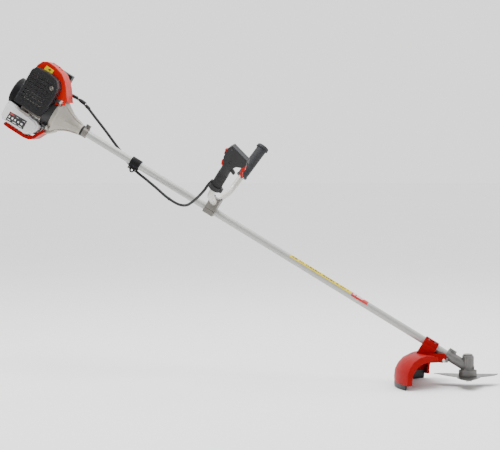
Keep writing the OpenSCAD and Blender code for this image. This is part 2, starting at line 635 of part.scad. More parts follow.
module lockout() color([0.85, 0.05, 0.05]) L() on_bar(-1) difference() {
  side(-5, 5) polygon([[-16, hz + 104], [-15.4, hz + 96], [-17, hz + 76], [-23, hz + 79], [-28, hz + 92], [-24, hz + 104]]);
  translate([-19.5, 0, hz + 100]) cy(-6, 6, 1.55);
}

module stop_switch() color([0.85, 0.05, 0.05]) L() on_bar(-1) side(-7, 7)
  polygon([[-25, hz + 117], [-25, hz + 137], [-31, hz + 137], [-37, hz + 134], [-34, hz + 127], [-33, hz + 117]]);

shaft_tube();
shaft_bushes();
drive_shaft();
gear_case();
shaft_bearings();
pinion_gear();
bevel_gear();
spindle();
inner_flange();
blade();
outer_washer();
blade_nut();
guard_bracket();
guard_clamp();
blade_guard();
guard_skirt();
fixing_screws();
clutch_housing();
vibration_ring();
shaft_clamp();
clutch_drum();
clutch_shoe_a();
clutch_shoe_b();
flywheel();
fan_housing();
crankcase();
crankshaft();
cylinder_block();
piston();
connecting_rod();
spark_plug();
plug_cap();
ignition_coil();
muffler();
muffler_guard();
engine_cover();
starter_housing();
starter_reel();
recoil_spring();
starter_handle();
carburettor();
choke_lever();
primer_bulb();
throttle_arm();
air_filter_base();
air_filter_cover();
filter_element();
fuel_tank();
fuel_cap();
tank_guard();
throttle_cable();
hanger_clamp();
bar_bracket();
handlebar_left();
handlebar_right();
left_grip();
throttle_handle();
trigger();
lockout();
stop_switch();
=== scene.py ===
"""Looks for the petrol string trimmer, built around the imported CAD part.

Local drawings are in millimetres; MM turns them into the scene's metres. Each piece rides
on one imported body, and a piece that redraws a CAD node replaces that node.
"""
import json
import math
import random

import bmesh
import bpy
from mathutils import Matrix, Vector


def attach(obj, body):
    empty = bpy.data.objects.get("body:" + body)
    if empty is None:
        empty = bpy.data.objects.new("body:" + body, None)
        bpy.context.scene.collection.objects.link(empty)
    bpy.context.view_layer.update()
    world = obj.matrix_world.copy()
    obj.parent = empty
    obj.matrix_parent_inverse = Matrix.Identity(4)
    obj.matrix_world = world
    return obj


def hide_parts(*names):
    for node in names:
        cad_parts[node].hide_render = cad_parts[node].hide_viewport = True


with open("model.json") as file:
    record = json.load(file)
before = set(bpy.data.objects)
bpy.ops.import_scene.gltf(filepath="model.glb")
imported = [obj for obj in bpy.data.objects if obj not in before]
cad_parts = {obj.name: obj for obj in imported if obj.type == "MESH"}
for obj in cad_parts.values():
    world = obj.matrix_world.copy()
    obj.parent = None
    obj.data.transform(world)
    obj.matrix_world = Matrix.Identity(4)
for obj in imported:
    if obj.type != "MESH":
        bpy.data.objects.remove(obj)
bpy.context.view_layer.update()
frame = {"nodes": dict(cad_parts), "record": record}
NODES = frame["nodes"]
RECORD = frame["record"]
SLOT_OF = {s["node"]: s["material_slot"] for s in RECORD["subparts"]}
BODY_OF = {n: b for b, ns in RECORD["behaviour"]["bodies"].items() for n in ns}

# ---------------------------------------------------------------- places
TILT = math.radians(31)                 # the tube's slope over the ground
GEAR_Z = 50.0                           # where the tube's axis meets the spindle
ENGINE_X = -1745.0                      # middle of the engine, along the tube
TUBE_R = 13.0
BAR_S = 1034.0                          # handlebar clamp, along the tube
BAR_H = 31                              # the handlebar's lowest stretch over the tube's axis
BAR_TIP = math.radians(3.5)             # how far the handlebar tips towards the blade
BAR_Y, BAR_Z = 212.0, 66.0              # lower end of each hand grip's straight
BAR_END_Y, BAR_END_Z = 284, 252         # upper end of the same straight
LEAN = math.pi / 2 - math.atan2(BAR_END_Z - BAR_Z, BAR_END_Y - BAR_Y)
GRIP_Z = 42.0                           # start of the throttle handle, up its straight
FLOOR_Z = -14.6
QUARTER = math.pi / 2

MM = Matrix.Scale(0.001, 4)
# L runs along the tube, E is the engine's frame, TIP tips the handlebar, and H and G stand on
# the throttle side's and the left side's straight.
L = MM @ Matrix.Translation((0, 0, GEAR_Z)) @ Matrix.Rotation(TILT, 4, "Y")
E = L @ Matrix.Translation((ENGINE_X, 0, 0))
TIP = (Matrix.Translation((-BAR_S, 0, BAR_H)) @ Matrix.Rotation(BAR_TIP, 4, "Y")
       @ Matrix.Translation((BAR_S, 0, -BAR_H)))
H = L @ TIP @ Matrix.Translation((-BAR_S, -BAR_Y, BAR_Z)) @ Matrix.Rotation(LEAN, 4, "X")
G = L @ TIP @ Matrix.Translation((-BAR_S, BAR_Y, BAR_Z)) @ Matrix.Rotation(-LEAN, 4, "X")

# ---------------------------------------------------------------- camera
AZ, EL = math.radians(8.3), math.radians(2.7)       # where the camera stands, from the front
DIST = 6.0
AIM = Vector((-0.748, 0.0, 0.529))                  # the point it looks at
LENS, SENSOR = 125.3, 36.0
BACK = Vector((math.sin(AZ) * math.cos(EL), -math.cos(AZ) * math.cos(EL), math.sin(EL)))
cam_data = bpy.data.cameras.new("camera")
cam_data.lens = LENS
cam_data.sensor_width = SENSOR
camera = bpy.data.objects.new("camera", cam_data)
bpy.context.scene.collection.objects.link(camera)
camera.location = AIM + BACK * DIST
camera.rotation_euler = BACK.to_track_quat("Z", "Y").to_euler()
bpy.context.scene.camera = camera


# ---------------------------------------------------------------- materials
MIX_FACTOR, MIX_A, MIX_B, MIX_RESULT = 0, 6, 7, 2      # the Mix node's colour sockets


def new_mat(name):
    m = bpy.data.materials.new(name)
    m.use_nodes = True
    nt = m.node_tree
    bsdf = nt.nodes["Principled BSDF"]
    return m, nt, bsdf


def link(nt, source, output, target, socket):
    nt.links.new(source.outputs[output], target.inputs[socket])


def coords(nt, scale=(1, 1, 1), rot=(0, 0, 0)):
    tc = nt.nodes.new("ShaderNodeTexCoord")
    mp = nt.nodes.new("ShaderNodeMapping")
    mp.inputs["Scale"].default_value = scale
    mp.inputs["Rotation"].default_value = rot
    link(nt, tc, "Object", mp, "Vector")
    return mp


def noise(nt, vec, scale, detail=3.0, rough=0.55):
    n = nt.nodes.new("ShaderNodeTexNoise")
    n.inputs["Scale"].default_value = scale
    n.inputs["Detail"].default_value = detail
    n.inputs["Roughness"].default_value = rough
    link(nt, vec, 0, n, "Vector")
    return n


def ramp(nt, src, out, lo, hi, c0, c1):
    """Colour c0 below lo, c1 above hi, and a blend between."""
    r = nt.nodes.new("ShaderNodeValToRGB")
    r.color_ramp.elements[0].position = lo
    r.color_ramp.elements[1].position = hi
    r.color_ramp.elements[0].color = (*c0, 1)
    r.color_ramp.elements[1].color = (*c1, 1)
    link(nt, src, out, r, "Fac")
    return r


def ranged(nt, src, out, lo, hi):
    """A noise value, which mostly lies between 0.25 and 0.75, spread over lo to hi."""
    r = nt.nodes.new("ShaderNodeMapRange")
    r.inputs["From Min"].default_value = 0.25
    r.inputs["From Max"].default_value = 0.75
    r.inputs["To Min"].default_value = lo
    r.inputs["To Max"].default_value = hi
    link(nt, src, out, r, "Value")
    return r


def bump(nt, bsdf, layers):
    """layers: (node, output, strength, distance in metres), first is deepest."""
    last = None
    for node, out, strength, dist in layers:
        b = nt.nodes.new("ShaderNodeBump")
        b.inputs["Strength"].default_value = strength
        b.inputs["Distance"].default_value = dist
        link(nt, node, out, b, "Height")
        if last is not None:
            link(nt, last, "Normal", b, "Normal")
        last = b
    link(nt, last, "Normal", bsdf, "Normal")


def shade(base, k):
    """The colour made k times as bright."""
    return tuple(min(1.0, c * k) for c in base)


def surface(name, base, rough, metal=0.0, var=0.12, rvar=0.08, grain=900.0, grain_h=0.00003,
            grain_s=0.35, patch=22.0, coat=0.0, streak=None, tint=None, mottle=None, spec=0.5,
            edge=0.0):
    """A worn, slightly uneven surface: broad colour patches, roughness patches and fine grain.

    streak: (scale, rotation, strength, metres) of drawn lines. mottle: (scale, strength, metres)
    of small dimples. edge: how much lighter the worn edges are. tint: colour of some patches.
    """
    m, nt, bsdf = new_mat(name)
    vec = coords(nt)
    broad = noise(nt, vec, patch, 5.0, 0.6)
    lo, hi = shade(base, 1 - var), shade(base, 1 + var)
    if tint:
        hi = tuple(h * 0.7 + t * 0.3 for h, t in zip(hi, tint))
    col = ramp(nt, broad, "Fac", 0.3, 0.7, lo, hi)
    last, last_out = col, "Color"
    if edge > 0:
        geo = nt.nodes.new("ShaderNodeNewGeometry")
        worn = ramp(nt, geo, "Pointiness", 0.50, 0.56, (0, 0, 0), (1, 1, 1))
        mix = nt.nodes.new("ShaderNodeMix")
        mix.data_type = "RGBA"
        amount = nt.nodes.new("ShaderNodeMath")
        amount.operation = "MULTIPLY"
        amount.inputs[1].default_value = edge
        link(nt, worn, "Color", amount, 0)
        link(nt, amount, 0, mix, MIX_FACTOR)
        link(nt, last, last_out, mix, MIX_A)
        mix.inputs[MIX_B].default_value = (*shade(base, 1.8), 1)
        last, last_out = mix, MIX_RESULT
    link(nt, last, last_out, bsdf, "Base Color")
    fine_r = noise(nt, vec, patch * 4.3, 4.0, 0.65)
    rr = ranged(nt, fine_r, "Fac", max(0.02, rough - rvar), min(1.0, rough + rvar))
    link(nt, rr, "Result", bsdf, "Roughness")
    layers = []
    if streak:
        sv = coords(nt, streak[0], streak[1])
        sn = noise(nt, sv, 1.0, 3.0, 0.6)
        layers.append((sn, "Fac", streak[2], streak[3]))
    if mottle:
        vo = nt.nodes.new("ShaderNodeTexVoronoi")
        vo.inputs["Scale"].default_value = mottle[0]
        link(nt, vec, 0, vo, "Vector")
        layers.append((vo, "Distance", mottle[1], mottle[2]))
    gn = noise(nt, vec, grain, 2.0, 0.5)
    layers.append((gn, "Fac", grain_s, grain_h))
    bump(nt, bsdf, layers)
    bsdf.inputs["Metallic"].default_value = metal
    bsdf.inputs["Specular IOR Level"].default_value = spec
    if coat:
        bsdf.inputs["Coat Weight"].default_value = coat
        bsdf.inputs["Coat Roughness"].default_value = 0.06
    return m


MATS = {}


def add(name, base, rough, **look):
    MATS[name] = surface(name, base, rough, **look)


add("alu_tube", (0.37, 0.37, 0.358), 0.44, metal=0.45, var=0.03, rvar=0.05, grain=1400,
    grain_s=0.12, patch=9, streak=((900, 900, 14), (0, TILT, 0), 0.05, 0.0001))
add("bar_paint", (0.50, 0.49, 0.45), 0.36, metal=0.25, var=0.03, rvar=0.06, grain=1200,
    grain_s=0.10, patch=14)
add("rubber_black", (0.012, 0.012, 0.013), 0.60, spec=0.25, var=0.25, rvar=0.12, grain=2200,
    grain_s=0.35, patch=40)
add("rubber_grip", (0.028, 0.029, 0.032), 0.66, spec=0.25, var=0.2, rvar=0.1, grain=1500,
    grain_s=0.5, patch=30, mottle=(1100, 0.25, 0.0001))
add("steel", (0.50, 0.49, 0.48), 0.34, metal=1.0, var=0.12, rvar=0.1, grain=1600, grain_s=0.2,
    patch=35)
add("bright_steel", (0.72, 0.72, 0.71), 0.22, metal=1.0, var=0.06, rvar=0.08, grain=1800,
    grain_s=0.12, patch=60)
add("cast_dark", (0.145, 0.14, 0.135), 0.48, metal=0.6, var=0.15, rvar=0.1, grain=700,
    grain_s=0.6, grain_h=0.00012, patch=30, edge=0.35)
add("cast_grey", (0.29, 0.265, 0.23), 0.50, metal=0.35, var=0.10, rvar=0.09, grain=620,
    grain_s=0.55, grain_h=0.00012, patch=24, edge=0.2)
add("cast_mid", (0.13, 0.12, 0.108), 0.46, metal=0.4, var=0.12, rvar=0.1, grain=640, grain_s=0.6,
    grain_h=0.00012, patch=30, edge=0.3)
add("cast_black", (0.025, 0.025, 0.025), 0.5, metal=0.3, spec=0.3, var=0.2, rvar=0.1, grain=700,
    grain_s=0.5, grain_h=0.0001, patch=26, edge=0.3)
add("guard_rough", (0.006, 0.006, 0.007), 0.62, spec=0.12, var=0.25, rvar=0.1, grain=1300,
    grain_s=0.5, grain_h=0.00008, patch=24)
add("screw_steel", (0.13, 0.127, 0.125), 0.42, metal=1.0, var=0.15, rvar=0.1, grain=1600,
    grain_s=0.25, patch=60)
# louvre: the guard's black plastic for the comb teeth, with a base lighter than guard_black as a
# painted highlight on the tooth tips; its gloss and low roughness are real
add("louvre", (0.030, 0.030, 0.034), 0.24, spec=0.5, var=0.2, rvar=0.06, grain=1200, grain_s=0.2,
    patch=40)
add("blade_steel", (0.11, 0.108, 0.102), 0.36, metal=1.0, var=0.12, rvar=0.1, grain=900,
    grain_s=0.15, patch=16, streak=((60, 1400, 60), (0, 0, 0.4), 0.12, 0.0002))
add("red_plastic", (0.40, 0.004, 0.0015), 0.38, var=0.07, rvar=0.06, grain=500, grain_s=0.06,
    patch=12, spec=0.08, tint=(0.50, 0.02, 0.004))
add("red_deep", (0.27, 0.002, 0.003), 0.45, var=0.1, rvar=0.07, grain=600, grain_s=0.12, patch=15,
    spec=0.06)
add("red_paint", (0.27, 0.002, 0.002), 0.42, var=0.08, rvar=0.07, grain=800, grain_s=0.2,
    patch=18, spec=0.08, edge=0.1)
add("black_plastic", (0.009, 0.009, 0.010), 0.46, spec=0.25, var=0.25, rvar=0.1, grain=1300,
    grain_s=0.5, grain_h=0.00008, patch=24)
add("guard_black", (0.0045, 0.0045, 0.0055), 0.30, spec=0.26, var=0.25, rvar=0.08, grain=1000,
    grain_s=0.3, grain_h=0.00008, patch=24)
add("handle_plastic", (0.012, 0.0115, 0.012), 0.52, spec=0.28, var=0.2, rvar=0.1, grain=1500,
    grain_s=0.6, grain_h=0.00009, patch=28)
add("handle_face", (0.030, 0.031, 0.034), 0.60, spec=0.3, var=0.1, rvar=0.08, grain=1500,
    grain_s=0.5, grain_h=0.00008, patch=28)
add("muffler_steel", (0.30, 0.27, 0.25), 0.42, metal=0.9, var=0.3, rvar=0.14, grain=800,
    grain_s=0.3, patch=18, tint=(0.35, 0.22, 0.15))
add("bulb", (0.70, 0.52, 0.36), 0.25, var=0.05, rvar=0.05, grain=500, grain_s=0.05, patch=20,
    coat=0.3)
add("foam", (0.05, 0.05, 0.05), 0.95, var=0.3, rvar=0.03, grain=1500, grain_s=1.0, grain_h=0.0006,
    patch=60, mottle=(900, 0.9, 0.0012))
add("ceramic", (0.86, 0.85, 0.82), 0.15, var=0.02, rvar=0.04, grain=400, grain_s=0.05, patch=20,
    coat=0.6)
add("reel_plastic", (0.72, 0.70, 0.63), 0.42, var=0.05, rvar=0.06, grain=900, grain_s=0.25,
    patch=20)
add("yellow_film", (0.66, 0.52, 0.004), 0.42, var=0.04, rvar=0.05, grain=500, grain_s=0.05,
    patch=30, spec=0.15)
add("red_film", (0.45, 0.006, 0.008), 0.40, var=0.06, rvar=0.05, grain=500, grain_s=0.05,
    patch=30, coat=0.3)
add("black_film", (0.018, 0.018, 0.020), 0.36, var=0.1, rvar=0.05, grain=500, grain_s=0.05,
    patch=30, coat=0.3)
add("white_film", (0.82, 0.82, 0.80), 0.36, var=0.03, rvar=0.05, grain=500, grain_s=0.05,
    patch=30, coat=0.3)
add("hose", (0.52, 0.36, 0.10), 0.30, var=0.08, rvar=0.06, grain=500, grain_s=0.05, patch=60,
    coat=0.3)

tank = surface("tank_plastic", (0.68, 0.665, 0.665), 0.36, var=0.03, rvar=0.06, grain=420,
               grain_s=0.25, grain_h=0.00012, patch=10)
tank_bsdf = tank.node_tree.nodes["Principled BSDF"]
tank_bsdf.inputs["Subsurface Weight"].default_value = 0.35
tank_bsdf.inputs["Subsurface Radius"].default_value = (0.008, 0.008, 0.007)
tank_bsdf.inputs["Subsurface Scale"].default_value = 0.5
MATS["tank_plastic"] = tank


# ---------------------------------------------------------------- mesh building
def place(name, verts, faces, m=None, mat=None):
    """One smooth-shaded mesh object, its points carried by m."""
    me = bpy.data.meshes.new(name)
    pts = [m @ Vector(v) for v in verts] if m is not None else [Vector(v) for v in verts]
    me.from_pydata([tuple(p) for p in pts], [], faces)
    me.validate(verbose=False)
    me.update()
    o = bpy.data.objects.new(name, me)
    bpy.context.scene.collection.objects.link(o)
    if mat:
        me.materials.append(MATS[mat])
    for p in me.polygons:
        p.use_smooth = True
    return o


def outward(o):
    """Turns every face outwards."""
    bm = bmesh.new()
    bm.from_mesh(o.data)
    bmesh.ops.recalc_face_normals(bm, faces=bm.faces)
    bm.to_mesh(o.data)
    bm.free()
    return o


def soften(o, width, seg=2, angle=34):
    """Rounds the edges sharper than angle by width millimetres."""
    b = o.modifiers.new("bevel", "BEVEL")
    b.width = width / 1000
    b.segments = seg
    b.limit_method = "ANGLE"
    b.angle_limit = math.radians(angle)
    b.use_clamp_overlap = True
    b.harden_normals = True
    return o


def put(o, body="frame", nodes=()):
    """Rides o on a body and hides the CAD nodes it replaces."""
    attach(o, body)
    if nodes:
        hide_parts(*nodes)
    return o


def refine(node, width=0.5, seg=2, angle=34, mat=None):
    """The CAD node's own surface with broken edges."""
    src = NODES[node]
    bm = bmesh.new()
    bm.from_mesh(src.data)
    bmesh.ops.remove_doubles(bm, verts=bm.verts, dist=3e-6)
    bmesh.ops.dissolve_limit(bm, angle_limit=math.radians(0.6), verts=bm.verts, edges=bm.edges)
    bmesh.ops.recalc_face_normals(bm, faces=bm.faces)
    bm.verts.index_update()
    verts = [v.co.copy() for v in bm.verts]
    faces = [[v.index for v in f.verts] for f in bm.faces]
    bm.free()
    o = place(node + "_skin", verts, faces, None, mat or SLOT_OF[node])
    soften(o, width, seg, angle)
    return put(o, BODY_OF[node], [node])


def lathe(name, prof, m, mat, n=72, closed=True):
    """prof: (radius, height) pairs in millimetres, turned about local Z."""
    verts, faces, k = [], [], len(prof)
    for i in range(n):
        a = 2 * math.pi * i / n
        verts += [(r * math.cos(a), r * math.sin(a), z) for r, z in prof]
    span = k if closed else k - 1
    for i in range(n):
        for j in range(span):
            a, b = i * k + j, i * k + (j + 1) % k
            c, d = ((i + 1) % n) * k + (j + 1) % k, ((i + 1) % n) * k + j
            faces.append((a, d, c, b))
    o = place(name, verts, faces, m, mat)
    bm = bmesh.new()
    bm.from_mesh(o.data)
    bmesh.ops.remove_doubles(bm, verts=bm.verts, dist=2e-6)
    bmesh.ops.recalc_face_normals(bm, faces=bm.faces)
    bm.to_mesh(o.data)
    bm.free()
    o.data.set_sharp_from_angle(angle=math.radians(40))
    return o


def blocks(name, cells, m, mat):
    """Many small boxes as one mesh. cells: (low corner, high corner[, local matrix])."""
    verts, faces = [], []
    for c in cells:
        a, b = c[0], c[1]
        t = c[2] if len(c) > 2 else Matrix.Identity(4)
        k = len(verts)
        for x in (a[0], b[0]):
            for y in (a[1], b[1]):
                for z in (a[2], b[2]):
                    verts.append(tuple(t @ Vector((x, y, z))))
        faces += [tuple(k + i for i in f) for f in
                  ((0, 1, 3, 2), (4, 6, 7, 5), (0, 4, 5, 1), (2, 3, 7, 6), (0, 2, 6, 4),
                   (1, 5, 7, 3))]
    return outward(place(name, verts, faces, m, mat))


def prism(name, poly, y0, y1, m, mat):
    """A drawing in X and Z, thick in Y."""
    n = len(poly)
    verts = [(x, y0, z) for x, z in poly] + [(x, y1, z) for x, z in poly]
    faces = [tuple(range(n)), tuple(range(2 * n - 1, n - 1, -1))]
    faces += [(i, i + n, (i + 1) % n + n, (i + 1) % n) for i in range(n)]
    return outward(place(name, verts, faces, m, mat))


def catmull(pts, sub):
    """A smooth path through the points, with sub steps for each stretch."""
    p = [Vector(q) for q in pts]
    out = []
    for i in range(len(p) - 1):
        a, b, c, d = p[max(i - 1, 0)], p[i], p[i + 1], p[min(i + 2, len(p) - 1)]
        for j in range(sub):
            t = j / sub
            out.append(0.5 * (2 * b + (c - a) * t + (2 * a - 5 * b + 4 * c - d) * t * t
                              + (3 * b - a - 3 * c + d) * t ** 3))
    out.append(p[-1])
    return out


def wire(name, pts, r, m, mat, sub=5):
    """A round tube as a curve through the points, and the path it follows."""
    path = [m @ q for q in catmull(pts, sub)]
    cu = bpy.data.curves.new(name, "CURVE")
    cu.dimensions = "3D"
    cu.bevel_depth = r / 1000
    cu.bevel_resolution = 5
    cu.use_fill_caps = True
    sp = cu.splines.new("POLY")
    sp.points.add(len(path) - 1)
    for q, v in zip(sp.points, path):
        q.co = (*v, 1)
    sp.use_smooth = True
    o = bpy.data.objects.new(name, cu)
    bpy.context.scene.collection.objects.link(o)
    cu.materials.append(MATS[mat])
    return o, path


def arc_shell(name, x0, x1, r, a0, a1, m, mat, thick=0.25, n=14):
    """A thin film wrapped on a round tube that runs along local X. Angles from +Z towards -Y."""
    verts, faces = [], []
    for rr in (r, r + thick):
        for x in (x0, x1):
            for i in range(n + 1):
                a = math.radians(a0 + (a1 - a0) * i / n)
                verts.append((x, -rr * math.sin(a), rr * math.cos(a)))
    k = n + 1
    for i in range(n):
        faces.append((i, i + 1, k + i + 1, k + i))
        faces.append((2 * k + i, 3 * k + i, 3 * k + i + 1, 2 * k + i + 1))
        faces.append((i, 2 * k + i, 2 * k + i + 1, i + 1))
        faces.append((k + i, k + i + 1, 3 * k + i + 1, 3 * k + i))
    faces.append((0, k, 3 * k, 2 * k))
    faces.append((n, 2 * k + n, 3 * k + n, k + n))
    o = outward(place(name, verts, faces, m, mat))
    o.data.set_sharp_from_angle(angle=math.radians(40))
    return o


# ---------------------------------------------------------------- carried CAD nodes
for n, o in NODES.items():
    o.data.materials.clear()
    o.data.materials.append(MATS[SLOT_OF[n]])
for n in ("handlebar_left", "handlebar_right"):
    NODES[n].data.materials[0] = MATS["bar_paint"]

# ---------------------------------------------------------------- throttle cable
def on_bar_point(x, z):
    """A point at x beside and z up the throttle side's straight, in the tube's frame."""
    return tuple(TIP @ Vector((-BAR_S + x, -BAR_Y - z * math.sin(LEAN),
                               BAR_Z + z * math.cos(LEAN))))


CABLE_R = 4.8
BOOT_RIBS, BOOT_PITCH = 7, 5.2
FERRULE = [(CABLE_R, 0), (7.0, 0.4), (7.0, 2.2), (CABLE_R, 2.6)]


ROUTE = [(-1696, 66, 77), (-1672, 68, 79), (-1655, 70, 80), (-1634, 70, 79), (-1608, 66, 74),
         (-1600, 64, 72), (-1560, 55, 58), (-1500, 40, 38), (-1440, 26, 16), (-1400, 21, 1),
         (-1370, 18, -13), (-1341, 12, -21), (-1318, 6, -25), (-1280, -6, -28), (-1230, -22, -33),
         (-1180, -44, -38), (-1130, -78, -34), (-1097, -116, -17), (-1078, -154, 14),
         (-1065, -190, 46), (-1058, -211, 70), on_bar_point(-25, 21), on_bar_point(-22.7, 31),
         on_bar_point(-19.2, 44.6)]
cable, cable_path = wire("throttle_cable_sleeve", ROUTE, CABLE_R, L, "rubber_black", 6)
put(cable, "frame", ["throttle_cable"])


def frame_on(path, s):
    """A matrix at distance s (m) along the path, local Z along it, in metres."""
    d = 0.0
    for a, b in zip(path, path[1:]):
        step = (b - a).length
        if d + step >= s:
            p = a + (b - a) * ((s - d) / step)
            return Matrix.Translation(p) @ (b - a).to_track_quat("Z", "X").to_matrix().to_4x4()
        d += step
    return Matrix.Translation(path[-1])


def along_cable(s_mm):
    """The same for local drawings in millimetres."""
    return frame_on(cable_path, s_mm / 1000) @ MM


boot = [(4.9, 0)]
for i in range(BOOT_RIBS):
    z = 2 + i * BOOT_PITCH
    boot += [(5.1, z), (6.8, z + 0.9), (6.8, z + 2.6), (5.1, z + 3.6)]
boot += [(4.9, 40), (4.75, 40), (4.75, 0)]

for tag, s, prof, mat in (
        ("cable_boot_a", 8, boot, "rubber_black"),
        ("cable_ferrule_a", 50, FERRULE, "steel"),
        ("cable_boot_b", 57, [(CABLE_R, 0), (6.5, 1), (6.9, 10), (6.9, 20), (6.3, 25),
                              (CABLE_R, 26)], "rubber_black"),
        ("cable_ferrule_b", 84, FERRULE, "steel"),
        ("cable_boot_c", 89, [(CABLE_R, 0), (6.3, 1), (6.1, 12), (5.2, 16), (CABLE_R, 17)],
         "rubber_black"),
        ("cable_tie", 560, [(CABLE_R, 0), (5.7, 0.5), (5.7, 4.5), (CABLE_R, 5)],
         "black_plastic")):
    put(lathe(tag, prof, along_cable(s), mat, 32), "frame")

# ---------------------------------------------------------------- refined CAD shapes
for node, width, seg in (
        ("gear_case", 1.1, 3), ("inner_flange", 0.8, 2), ("blade", 0.35, 1),
        ("outer_washer", 0.6, 2), ("blade_nut", 0.4, 2), ("spindle", 0.4, 1),
        ("guard_skirt", 0.6, 2), ("clutch_housing", 1.0, 2), ("vibration_ring", 0.8, 2),
        ("muffler_guard", 0.8, 2), ("engine_cover", 1.1, 3), ("starter_handle", 1.0, 2),
        ("carburettor", 1.0, 2), ("choke_lever", 0.5, 2), ("throttle_arm", 0.3, 1),
        ("air_filter_base", 1.5, 2), ("left_grip", 1.6, 3), ("air_filter_cover", 3.0, 3),
        ("fuel_tank", 3.0, 3), ("fuel_cap", 1.2, 2), ("tank_guard", 1.0, 2),
        ("throttle_handle", 1.6, 3), ("trigger", 1.0, 2), ("lockout", 1.0, 2),
        ("stop_switch", 1.0, 2), ("fan_housing", 0.6, 1), ("muffler", 2.0, 3),
        ("flywheel", 0.3, 1), ("plug_cap", 1.0, 2), ("spark_plug", 0.3, 1)):
    refine(node, width, seg)

# ---------------------------------------------------------------- shaft decals
MARK_LIFT = 0.34
MARKS_FROM, MARKS_TO = -706.0, -478


def film(name, x0, x1, a0, a1, mat, lift=0.12):
    """A film on the tube from x0 to x1, between two angles round it."""
    return put(arc_shell(name, x0, x1, TUBE_R + lift, a0, a1, L, mat), "frame")


film("shaft_strip", -714, -469, 4, 66, "yellow_film")
film("shaft_tag", -466, -402, -8, 84, "red_film")
rnd = random.Random(7)
x = MARKS_FROM
i = 0
while x < MARKS_TO:
    w = rnd.choice((3.5, 5.0, 7.5, 10.0))
    film("strip_mark_%02d" % i, x, x + w, 24, 46, "black_film", MARK_LIFT)
    x += w + rnd.choice((3.0, 3.0, 9.0))
    i += 1
for i, (x0, x1) in enumerate(((-461, -452), (-448, -414))):
    for k, a0 in enumerate((8, 24, 40)):
        film("tag_mark_%d_%d" % (i, k), x0, x1 - k * 5 * i, a0, a0 + 8, "white_film", MARK_LIFT)

# ---------------------------------------------------------------- muffler guard
# outlines in the engine's X and Z, round the guard's face and along its rim
GUARD_RIM = [(-56, -24), (-56, 100), (-46, 116), (10, 119), (40, 111), (54, 93), (58, 74), (58, 12)]
GUARD_FACE = [(-52, -22), (-52, 98), (-43, 111.5), (9, 114.5), (37, 107), (50, 91.5), (53.5, 73),
              (53.5, 12), (49, 0), (41, -24)]
OUTLET_X, OUTLET_Z, OUTLET_KEEP = 37, 80, 15       # exhaust outlet, and the plain ring round it
HOOD_W, HOOD_STEP, HOOD_ROW = 5.8, 8.0, 4.667
COMB_STEP = 4.6


def inside(poly, x, z):
    hit = False
    for (x0, z0), (x1, z1) in zip(poly, poly[1:] + poly[:1]):
        if (z0 > z) != (z1 > z) and x < (x1 - x0) * (z - z0) / (z1 - z0) + x0:
            hit = not hit
    return hit


def on_outlet(y):
    """The outlet's frame at depth y, with local Z pointing away from the engine."""
    return E @ Matrix.Translation((OUTLET_X, y, OUTLET_Z)) @ Matrix.Rotation(QUARTER, 4, "X")


hoods = []
row_i = 0
z = -17.0
while z < 110:
    x = -50.0 + (HOOD_STEP / 2 if row_i % 2 else 0.0)
    while x < 50:
        if (inside(GUARD_FACE, x, z) and inside(GUARD_FACE, x + 6, z + 2.4)
                and (x + 3 - OUTLET_X) ** 2 + (z + 1 - OUTLET_Z) ** 2 > OUTLET_KEEP ** 2):
            t = (Matrix.Translation((x, -97, z)) @ Matrix.Rotation(math.radians(-28), 4, "X")
                 @ Matrix.Rotation(math.radians(rnd.uniform(-2, 2)), 4, "Y"))
            hoods.append(((0, -1.5, 0), (HOOD_W, 1.2, 1.5), t))
        x += HOOD_STEP
    z += HOOD_ROW
    row_i += 1
put(soften(blocks("guard_louvres", hoods, E, "guard_black"), 0.3, 1), "frame")

comb = []
for (x0, z0), (x1, z1) in zip(GUARD_RIM, GUARD_RIM[1:]):
    teeth = max(1, int(math.hypot(x1 - x0, z1 - z0) / COMB_STEP))
    a = math.atan2(z1 - z0, x1 - x0)
    for k in range(teeth):
        f = (k + 0.5) / teeth
        t = (Matrix.Translation((x0 + (x1 - x0) * f, 0, z0 + (z1 - z0) * f))
             @ Matrix.Rotation(-a, 4, "Y"))
        comb.append(((-0.9, -98.2, -2.6), (0.9, -46, 2.0), t))
# the comb teeth take the louvre finish, whose lighter base is a painted highlight on the black
# plastic
put(soften(blocks("guard_comb", comb, E, "louvre"), 0.35, 1), "frame")

put(lathe("outlet_ring", [(5.6, 0), (6.8, 0), (7.2, 1.0), (6.8, 1.8), (5.8, 1.6)],
          on_outlet(-96.4), "muffler_steel", 40), "frame")
wires = [i * 2.2 for i in range(-2, 3)]
screen = [((-5.2, w - 0.35, 0), (5.2, w + 0.35, 0.7)) for w in wires]
screen += [((w - 0.35, -5.2, -0.5), (w + 0.35, 5.2, 0.2)) for w in wires]
put(blocks("outlet_screen", screen, on_outlet(-94.6), "bright_steel"), "frame")

# ---------------------------------------------------------------- engine cover and bell
baffle = prism("cover_baffle",
               [(-58, 100), (-56, 112), (-47, 124), (-30, 129), (11, 127), (44, 118), (61, 98),
                (69, 78), (69, 68), (57, 68), (55, 74), (51, 91), (38, 108), (10, 116),
                (-45, 113), (-54, 99)], -41.2, -40.2, E, "guard_black")
put(soften(baffle, 0.2, 1), "frame")

